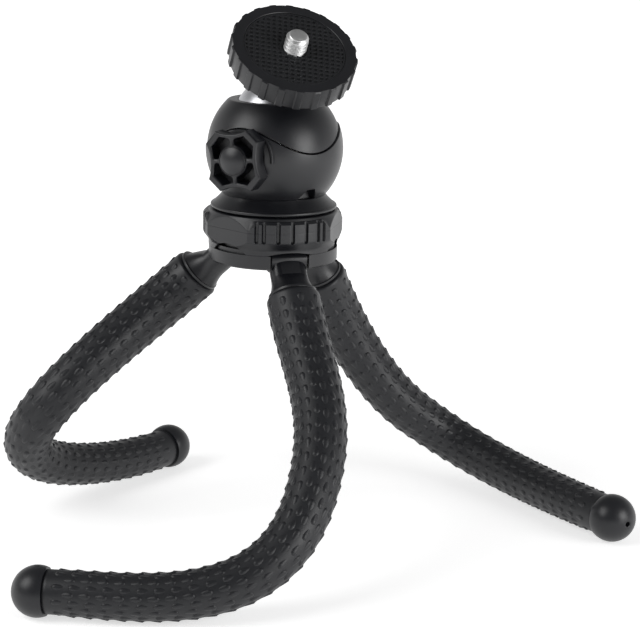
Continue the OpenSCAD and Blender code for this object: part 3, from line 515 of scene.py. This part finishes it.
# shoulder: a cone that swells slightly, above a polished bead
def makeShoulder():
    c = shoulder
    t = np.linspace(0, 1, 16)
    out = 1 - c["bulge"] * np.sin(np.pi / 2 * t) - (1 - c["bulge"]) * t
    slope = np.stack([c["topR"] + (c["r"] - c["beadOut"] - 0.2 - c["topR"]) * out,
                      c["bead"] + (c["h"] - c["bead"]) * t], -1)
    turn = np.linspace(-np.pi / 2, np.pi / 2, 10)
    bead = np.stack([c["r"] - 0.45 + 0.45 * np.cos(turn), c["bead"] / 2 + c["bead"] / 2 * np.sin(turn)], -1)
    profile = np.concatenate([[[5.0, 0]], bead, slope, [[c["topR"] - 0.3, c["h"]], [5.0, c["h"]], [5.0, 0]]])
    makePiece("shoulderCollar", [(put(revolved(profile, 160), hubPlace(shoulderZ)), True)], plastic,
              "head", ["shoulder"], sharp=40)


makeCover()
makeShoulder()
print("hub made")


shell = {"r": 19.5, "rim": 13.8, "bottom": 12.8, "mouthR": 11.55, "wall": 1.6, "floorR": 10.0,
         "seamMid": 4.1, "seamSwing": 3.3, "seamTurn": 65.0, "step": 0.4, "gap": 0.3,
         "pry": (67.5, 6.4, 1.9, 3.0, 1.5), "spot": 18.1, "columns": 1080}


# height of the seam: a crest at the knob, a trough on either side, level at the back
def seamHeight(turn):
    return shell["seamMid"] + shell["seamSwing"] * np.cos(np.pi * np.minimum(np.abs(turn) / shell["seamTurn"], 2))


# rows of a spherical wall between two heights that may change with azimuth
def sphereRows(r, low, high, rows):
    t = np.linspace(0, 1, rows)[:, None]
    z = low + (high - low) * t
    return np.sqrt(r * r - z * z), z


# shells: one ball of plastic in two parts, which meet at a wavy seam; the upper one stands back by the step
def makeShells():
    c = shell
    turn = np.linspace(-180, 180, c["columns"], endpoint=False)
    seam = seamHeight(turn)
    one = np.ones_like(turn)
    place = step(hubPlace(housingZ), turnZ(head["knobAzimuth"]))
    a = np.radians(turn)

    def spun(r, z):
        return np.stack([r * np.sin(a), -r * np.cos(a), z], -1)

    top = c["r"] - c["step"]
    r, z = sphereRows(top, seam + c["gap"] / 2 + 0.12, (c["rim"] - 0.35) * one, 40)
    rimR = math.sqrt(top ** 2 - c["rim"] ** 2)
    mouth = math.sqrt(c["mouthR"] ** 2 - (c["rim"] - head["ballRise"]) ** 2)
    lip = rounded([[r[-1, 0], c["rim"] - 0.35], [rimR - 0.1, c["rim"]], [mouth + 0.5, c["rim"]],
                   [mouth + 0.05, c["rim"] - 0.5], [mouth + 0.6, c["rim"] - 2.5]], [0.2, 0.3, 0.25], 4)[1:]
    seamR, seamTop = np.sqrt(top ** 2 - seam ** 2), seam + c["gap"] / 2
    r = np.concatenate([[seamR - c["wall"], seamR - 0.1], r, lip[:, :1] * one])
    z = np.concatenate([[seamTop, seamTop], z, lip[:, 1:] * one])
    makePiece("upperShell", [(put(looped(spun(r, z)), place), True)], plastic,
              "head", ["upper_shell"], sharp=35)

    r, z = sphereRows(c["r"], -c["bottom"] * one + 0.15, seam - c["gap"] / 2 - 0.1, 64)
    az, width, taper, high, deep = c["pry"]
    up = z + c["bottom"]
    across = np.abs(nearestTurn(turn - az)) * np.pi / 180 * r
    notch = smooth((width / 2 - taper * up / high - across) / 0.25 + 0.5) * smooth((high - up) / 0.3 + 0.5)
    r = r - notch * np.clip(deep + r - r[0], 0, None)
    r = np.minimum(r, c["spot"] / np.maximum(np.cos(a), 0.3))
    bottomR = math.sqrt(c["r"] ** 2 - c["bottom"] ** 2)
    seamR = np.sqrt(c["r"] ** 2 - seam ** 2)
    r = np.concatenate([[c["floorR"] * one, (bottomR - 0.15) * one - deep * notch[0]], r,
                        [seamR - 0.12, seamR - c["wall"]]])
    z = np.concatenate([[-c["bottom"] * one, -c["bottom"] * one], z, [seam - c["gap"] / 2, seam - c["gap"] / 2]])
    grids = [(put(looped(spun(r, z)), place), True), (put(lipRows(), knobPlace), True)]
    makePiece("lowerShell", grids, plastic, "head", ["lower_shell"], sharp=35)


def nearestTurn(a):
    return (a + 180) % 360 - 180


lipEdge = {"r": 9.3, "w": 0.95, "low": 15.1, "high": 18.05, "from": -3.0, "sweep": 38.0}


# lip: a rounded square section carried along an arc beside the knob
def lipRows():
    e = lipEdge
    half = e["w"] / 2
    section = rounded([[-half, e["low"]], [-half, e["high"]], [half, e["high"]], [half, e["low"]]], 0.25, 4)
    a = np.radians(np.linspace(e["from"], e["from"] + e["sweep"], 48))[:, None]
    r = e["r"] + section[None, :, 0]
    rows = np.stack([r * np.cos(a), r * np.sin(a), section[None, :, 1] + 0 * a], -1)
    ends = rows.mean(1, keepdims=True)[[0, -1]] + 0 * rows[[0, -1]]
    return np.concatenate([ends[:1], rows, ends[1:]])


knob = {"back": 18.4, "t": 4.6, "corner": 9.4, "waist": 14.6, "sideR": 13.0, "turn": 6.0, "windowDeep": 4.1,
        "rim": 1.35, "rimCorner": 2.2, "spoke": 1.4, "roundness": 0.4, "bevel": 0.3, "capR": 4.1, "capGap": 0.4,
        "capProud": 0.5, "dome": 1.0, "edge": 0.5, "columns": 720}


# knob outline in polar form: a square with cut corners, bitten by four large circles, drawn in by inset
def knobOutline(a, inset=0.0, cornerInset=0.0):
    k = knob
    off = (a + np.pi / 4) % (np.pi / 2) - np.pi / 4
    d, big = k["waist"] / 2 + k["sideR"], k["sideR"] + inset
    inside = big ** 2 - (d * np.sin(off)) ** 2
    bite = d * np.cos(off) - np.sqrt(np.clip(inside, 0, None))
    corner = (k["corner"] - cornerInset) / np.cos(np.pi / 4 - np.abs(off))
    return np.minimum(corner, np.where(inside > 0, bite, corner))


# knob: side wall on the outline, and a face whose height drops into four windows between the spokes; the distance
# to the windows' edges is a soft minimum, which rounds their corners
def makeKnob():
    k = knob
    a = np.linspace(0, 2 * np.pi, k["columns"], endpoint=False)
    edge, e = knobOutline(a), k["edge"]
    turn = np.linspace(0, np.pi / 2, 6)
    arc = np.stack([e * np.cos(turn) - e, e * np.sin(turn)], -1)
    side = np.concatenate([[[-9, 0]], arc[::-1] * [1, -1] + [0, e], arc + [0, k["t"] - e]])
    r = np.maximum(edge[None] + side[:, :1], 0)
    r[0] = 0
    z = side[:, 1:] + 0 * edge
    share = np.linspace(1, 0, 120)[1:, None]
    faceR = (edge - e) * share
    x, y = faceR * np.cos(a), faceR * np.sin(a)
    ways = [knobOutline(a, k["rim"], k["rimCorner"]) - faceR, faceR - k["capR"] - k["capGap"],
            np.abs(x) - k["spoke"] / 2, np.abs(y) - k["spoke"] / 2]
    w = k["roundness"]
    inset = 0.25 - w * np.log(sum(np.exp(-np.clip(d, -6, 6) / w) for d in ways))
    fall = k["bevel"] * smooth((inset + 0.4) / 0.55) + (k["windowDeep"] - k["bevel"]) * smooth(inset / 0.25)
    r = np.concatenate([r, faceR])
    z = np.concatenate([z, k["t"] - fall])
    points = np.stack([r * np.cos(a), r * np.sin(a), z], -1)
    place = step(knobPlace, turnZ(k["turn"]), (0, 0, k["back"]))
    makePiece("lockKnob", [(put(points, place), True)], plastic, "knob", ["lock_knob"], sharp=38)
    # cap: a shallow dome on a short collar, with a fine groove between the two
    inner = k["capR"] - 0.35
    dome = (inner ** 2 + k["dome"] ** 2) / (2 * k["dome"])
    t = np.linspace(math.asin(inner / dome), 0, 24)
    top = np.stack([dome * np.sin(t), dome * np.cos(t) - dome + k["dome"] + k["capProud"]], -1)
    collar = rounded([[0, -1], [k["capR"], -1], [k["capR"], k["capProud"]], [inner + 0.12, k["capProud"] + 0.02],
                      [inner + 0.08, k["capProud"] - 0.25], [inner, k["capProud"] - 0.05]], [0.05, 0.18, 0.04, 0.04], 3)
    cap = np.concatenate([collar, top])
    capPlace = step(knobPlace, move=(0, 0, k["back"] + k["t"]))
    makePiece("knobCap", [(put(revolved(cap, 96), capPlace), True)], plastic,
              "knob", ["knob_cap"], sharp=40)


plate = {"r": 17.7, "t": 6.4, "rise": 20.2, "flutes": 22, "share": 0.6, "deep": 0.45, "turn": 6.5, "edge": 0.3,
         "scallop": (0.52, 0.9), "padR": 14.2, "padSink": 0.2, "padSeat": 1.0, "boreR": 3.2, "columns": 1056}


# plate: a wall whose radius steps in at each flute, with a wider bevel over the flutes, and a shallow seat for the pad
def makePlate():
    p = plate
    a = np.linspace(0, 2 * np.pi, p["columns"], endpoint=False)
    width = 2 * np.pi * p["r"] / p["flutes"]
    off = (((a - np.radians(p["turn"])) * p["flutes"] / (2 * np.pi) + 0.5) % 1 - 0.5) * width
    flute = smooth((width * p["share"] / 2 - np.abs(off)) / 0.3 + 0.5)
    wall = p["r"] - p["deep"] * flute
    inward, down = (p["edge"] + (s - p["edge"]) * flute for s in p["scallop"])
    one = np.ones_like(a)
    t, seat, seatR = p["t"] * one, (p["t"] - p["padSeat"]) * one, (p["padR"] + 0.02) * one
    rows = [((p["padR"] - 2) * one, 0 * one), (wall - 0.5, 0 * one), (wall - 0.12, 0.14 * one), (wall, 0.5 * one),
            (wall, t - down), (p["r"] - inward, t - 0.03), (p["r"] - 1.6 * one, t), ((p["padR"] + 0.12) * one, t),
            (seatR, t - 0.1), (seatR, seat), (p["boreR"] * one, seat), (p["boreR"] * one, 0 * one)]
    r, z = np.stack([k[0] for k in rows]), np.stack([k[1] for k in rows])
    points = np.stack([r * np.cos(a), r * np.sin(a), z + p["rise"]], -1)
    makePiece("topPlate", [(put(looped(points), stemPlace), True)], plastic,
              "plate", ["top_plate"], sharp=25)


pad = {"pitch": 1.6, "well": 1.1, "deep": 0.4, "wallW": 0.15, "border": 0.35, "holeR": 3.6, "thick": 1.5,
       "turn": -14.0}


# pad: a square grid of wells with sloping walls, cut to a disc, inside a smooth border ring
def makePad():
    p, top = pad, plate["rise"] + plate["t"] - plate["padSink"]
    n = int(plate["padR"] / p["pitch"]) + 2
    cell = np.array([0, p["wallW"], p["well"] - p["wallW"], p["well"]]) + (p["pitch"] - p["well"]) / 2
    drop = np.array([0, 1, 1, 0.0])
    x = (np.arange(-n, n)[:, None] * p["pitch"] + cell).ravel()
    d = np.tile(drop, 2 * n)
    z = top - p["deep"] * np.minimum(d[:, None], d[None])
    gx, gy = np.meshgrid(x, x, indexing="ij")
    inner, r = plate["padR"] - p["border"], plate["padR"]
    size = np.hypot(gx, gy)
    pull = np.minimum(1, (r - 0.08) / np.maximum(size, 1e-6))
    grid = np.stack([gx * pull, gy * pull, z], -1).swapaxes(0, 1)
    corner = np.stack([size[:-1, :-1], size[1:, :-1], size[:-1, 1:], size[1:, 1:]])
    kept = (corner.min(0) < inner) & (corner.max(0) > p["holeR"])
    hole, face, low = p["holeR"], top + 0.02, top - p["thick"]
    ring = rounded([[inner - 0.25, top - 0.3], [inner - 0.2, face], [r - 0.1, face], [r, top - 0.1], [r, low],
                    [hole, low], [hole, face], [hole + 0.7, face], [hole + 0.75, top - 0.3]], 0.05, 2)[::-1]
    turned = step(stemPlace, turnZ(p["turn"]))
    grids = [(put(grid, turned), False, kept.T), (put(revolved(ring, 160), stemPlace), True)]
    makePiece("topPad", grids, padRubber, "plate", ["top_pad"], sharp=30, solid=False)


screw = {"r": 3.175, "pitch": 1.27, "deep": 0.75, "out": 4.8, "tip": 0.8, "shankR": 2.4, "shankDown": 9.0}


# camera screw: a V thread, radius falling with the distance from the helix, run out into a chamfer at the tip
def makeScrew():
    s = screw
    base = plate["rise"] + plate["t"] - plate["padSink"]
    z = np.linspace(-1.2, s["out"], 130)[:, None]
    a = np.linspace(0, 2 * np.pi, 72, endpoint=False)[None]
    wave = np.abs(((z / s["pitch"] - a / (2 * np.pi)) % 1) - 0.5) * 2
    r = s["r"] - s["deep"] * np.clip((wave - 0.12) / 0.76, 0, 1)
    r = np.minimum(r, s["r"] - np.clip(z - (s["out"] - s["tip"]), 0, None))
    rows = np.stack([r * np.cos(a), r * np.sin(a), base + z + 0 * a], -1)
    ends = rows[[0, -1]] * np.array([0, 0, 1.0])
    low, high = plate["rise"] - s["shankDown"], base - 0.5
    shank = np.array([[0, low], [s["shankR"], low], [s["shankR"], high], [0, high]])
    thread = np.concatenate([ends[:1], rows, ends[1:]])
    grids = [(put(thread, stemPlace), True), (put(revolved(shank, 48), stemPlace), True)]
    makePiece("cameraScrew", grids, plated, "ball", ["camera_screw"], sharp=50)


ball = {"r": 11.5, "neckR": 3.8}


# ball: turned sphere with a filleted neck
def makeBall():
    b = ball
    low = math.asin(b["neckR"] / b["r"])
    t = np.linspace(np.pi, low + 0.06, 60)
    globe = np.stack([b["r"] * np.sin(t), b["r"] * np.cos(t)], -1)
    root = globe[-1, 1]
    neck = np.array([[b["neckR"] + 0.12, root + 0.35], [b["neckR"], root + 0.9], [b["neckR"], plate["rise"]],
                     [0, plate["rise"]]])
    profile = np.concatenate([globe, neck])
    makePiece("ballStem", [(put(revolved(profile, 128), stemPlace), True)], silver,
              "ball", ["ball"], sharp=40)


makeShells()
makeKnob()
makePlate()
makePad()
makeScrew()
makeBall()
print("head made")


studio = {"floor": "#e6e6e6", "half": 6000.0, "below": 0.02, "glow": (0.62, 1.0), "reach": (100.0, 320.0),
          "sky": (0.2, 0.9), "camera": (1.2, -512.4, 191.0), "pitch": 13.8, "focal": 1900.0, "pixels": 640}

# floor: white paper; what the eye sees of it is lifted to white, more so away from the object, so its shadow stays
across = np.linspace(-studio["half"], studio["half"], 3)
floorGrid = np.stack(np.meshgrid(across, across, [-studio["below"]], indexing="xy"), -1)[:, :, 0]
paper = bpy.data.materials.new("white paper")
paper.use_nodes = True
tree = paper.node_tree
sheet = tree.nodes["Principled BSDF"]
sheet.inputs["Base Color"].default_value = hexColour(studio["floor"])
sheet.inputs["Roughness"].default_value = 0.9
sheet.inputs["Emission Color"].default_value = (1, 1, 1, 1)
path = addNode(tree, "ShaderNodeLightPath").outputs
eye = addNode(tree, "ShaderNodeMath", {0: path["Is Camera Ray"], 1: path["Is Glossy Ray"]}, operation="MAXIMUM")
eye = addNode(tree, "ShaderNodeMath", {0: eye.outputs["Value"], 1: path["Is Transmission Ray"]}, operation="MAXIMUM")
where = addNode(tree, "ShaderNodeTexCoord").outputs["Object"]
far = addNode(tree, "ShaderNodeVectorMath", {0: where}, operation="LENGTH")
lift = addNode(tree, "ShaderNodeMapRange", {"Value": far.outputs["Value"], "From Min": studio["reach"][0] * mm,
                                            "From Max": studio["reach"][1] * mm, "To Min": studio["glow"][0],
                                            "To Max": studio["glow"][1]})
glow = addNode(tree, "ShaderNodeMath", {0: lift.outputs["Result"], 1: eye.outputs["Value"]}, operation="MULTIPLY")
tree.links.new(glow.outputs["Value"], sheet.inputs["Emission Strength"])
floor = makePiece("floor", [(floorGrid, False)], paper, solid=False)

# room: white low behind the object, dim above and on the camera's side, so that dark plastic shows its form;
# plain white to the eye
world = bpy.data.worlds.new("studio room")
scene.world = world
world.use_nodes = True
tree = world.node_tree
sky = tree.nodes["Background"]
sky.inputs["Color"].default_value = (1, 1, 1, 1)
ray = addNode(tree, "ShaderNodeTexCoord").outputs["Object"]
part = addNode(tree, "ShaderNodeSeparateXYZ", {"Vector": ray})
back = addNode(tree, "ShaderNodeMapRange", {"Value": part.outputs["Y"], "From Min": -0.3, "From Max": 0.35})
down = addNode(tree, "ShaderNodeMapRange", {"Value": part.outputs["Z"], "From Min": 0.65, "From Max": 0.1})
both = addNode(tree, "ShaderNodeMath", {0: back.outputs["Result"], 1: down.outputs["Result"]}, operation="MULTIPLY")
level = addNode(tree, "ShaderNodeMapRange", {"Value": both.outputs["Value"], "To Min": studio["sky"][0],
                                             "To Max": studio["sky"][1]})
path = addNode(tree, "ShaderNodeLightPath").outputs
seen = addNode(tree, "ShaderNodeMath", {0: level.outputs["Result"], 1: path["Is Camera Ray"]}, operation="MAXIMUM")
tree.links.new(seen.outputs["Value"], sky.inputs["Strength"])


# softbox: a square lamp that looks at the head
def softbox(name, place, size, watts):
    lamp = bpy.data.lights.new(name, "AREA")
    lamp.shape = "SQUARE"
    lamp.size = size * mm
    lamp.energy = watts
    box = bpy.data.objects.new(name, lamp)
    scene.collection.objects.link(box)
    box.location = np.array(place) * mm
    look = np.array([0, 0, 60]) - np.array(place)
    box.rotation_euler = Vector(look).to_track_quat("-Z", "Y").to_euler()
    return box


softbox("leftBox", (-520, -240, 480), 420, 2.1)
softbox("rightBox", (515, -355, 215), 340, 1.9)

lens = bpy.data.cameras.new("photoCamera")
lens.sensor_width = 36.0
lens.sensor_fit = "HORIZONTAL"
lens.lens = studio["focal"] * lens.sensor_width / studio["pixels"]
lens.clip_start = 0.01
eye = bpy.data.objects.new("photoCamera", lens)
scene.collection.objects.link(eye)
eye.location = np.array(studio["camera"]) * mm
eye.rotation_euler = (math.radians(90 - studio["pitch"]), 0, 0)
scene.camera = eye
